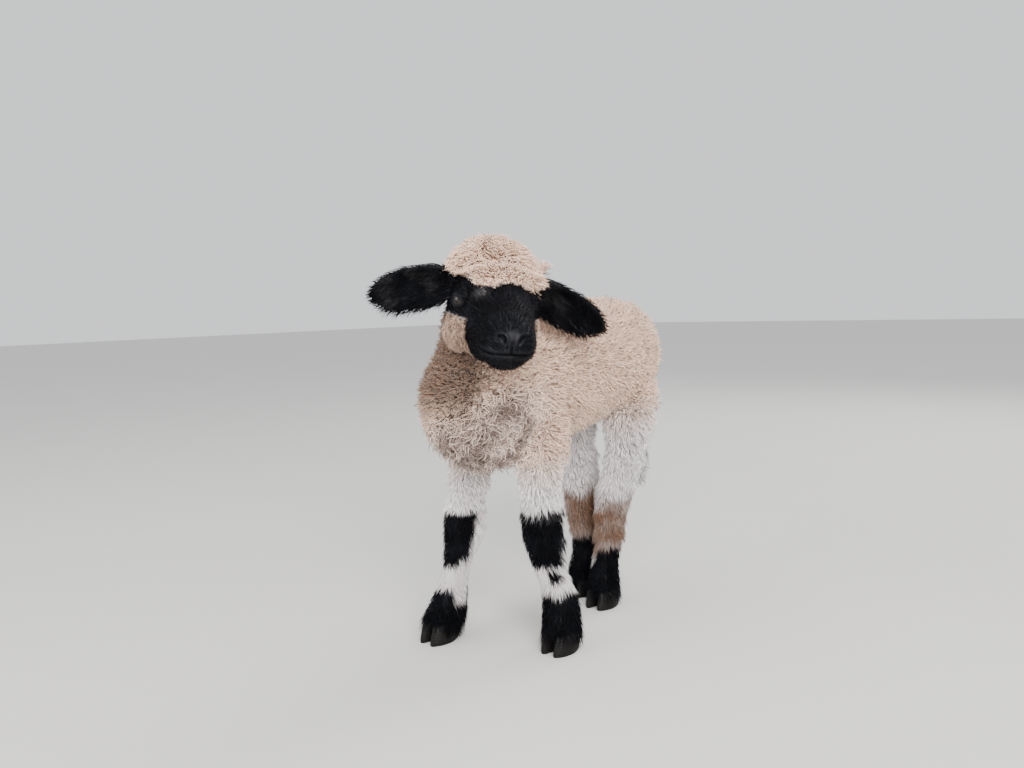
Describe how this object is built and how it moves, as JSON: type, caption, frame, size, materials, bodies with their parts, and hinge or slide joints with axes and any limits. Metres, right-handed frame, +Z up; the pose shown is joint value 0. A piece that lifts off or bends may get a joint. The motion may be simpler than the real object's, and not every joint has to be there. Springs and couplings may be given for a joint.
{
  "type": "valais blacknose lamb",
  "caption": "Standing blacknose lamb with curly cream wool, black face, knees and feet, drooping ears, its head turned to its left.",
  "frame": {"origin": "on the floor, under the middle of the whole lamb's bounding box", "axes": "+Z up, the body faces -Y, +X towards its left side"},
  "size_m": [0.2228, 0.4596, 0.4775],
  "materials": {
    "cream_wool": "soft matte curls",
    "black_coat": "short matte hair",
    "dark_eye": "wet gloss",
    "hoof_horn": "dull horn"
  },
  "bodies": {
    "root": {"claw_foreleg_left_inner": "hoof_horn", "claw_foreleg_left_outer": "hoof_horn", "claw_foreleg_right_inner": "hoof_horn", "claw_foreleg_right_outer": "hoof_horn", "claw_hindleg_left_inner": "hoof_horn", "claw_hindleg_left_outer": "hoof_horn", "claw_hindleg_right_inner": "hoof_horn", "claw_hindleg_right_outer": "hoof_horn", "ear_left": "black_coat", "ear_right": "black_coat", "eye_left": "dark_eye", "eye_right": "dark_eye", "head": "black_coat", "lower_foreleg_left": "black_coat", "lower_foreleg_right": "black_coat", "lower_hindleg_left": "black_coat", "lower_hindleg_right": "black_coat", "neck": "cream_wool", "tail": "cream_wool", "torso": "cream_wool", "upper_foreleg_left": "cream_wool", "upper_foreleg_right": "cream_wool", "upper_hindleg_left": "cream_wool", "upper_hindleg_right": "cream_wool"}
  },
  "joints": []
}
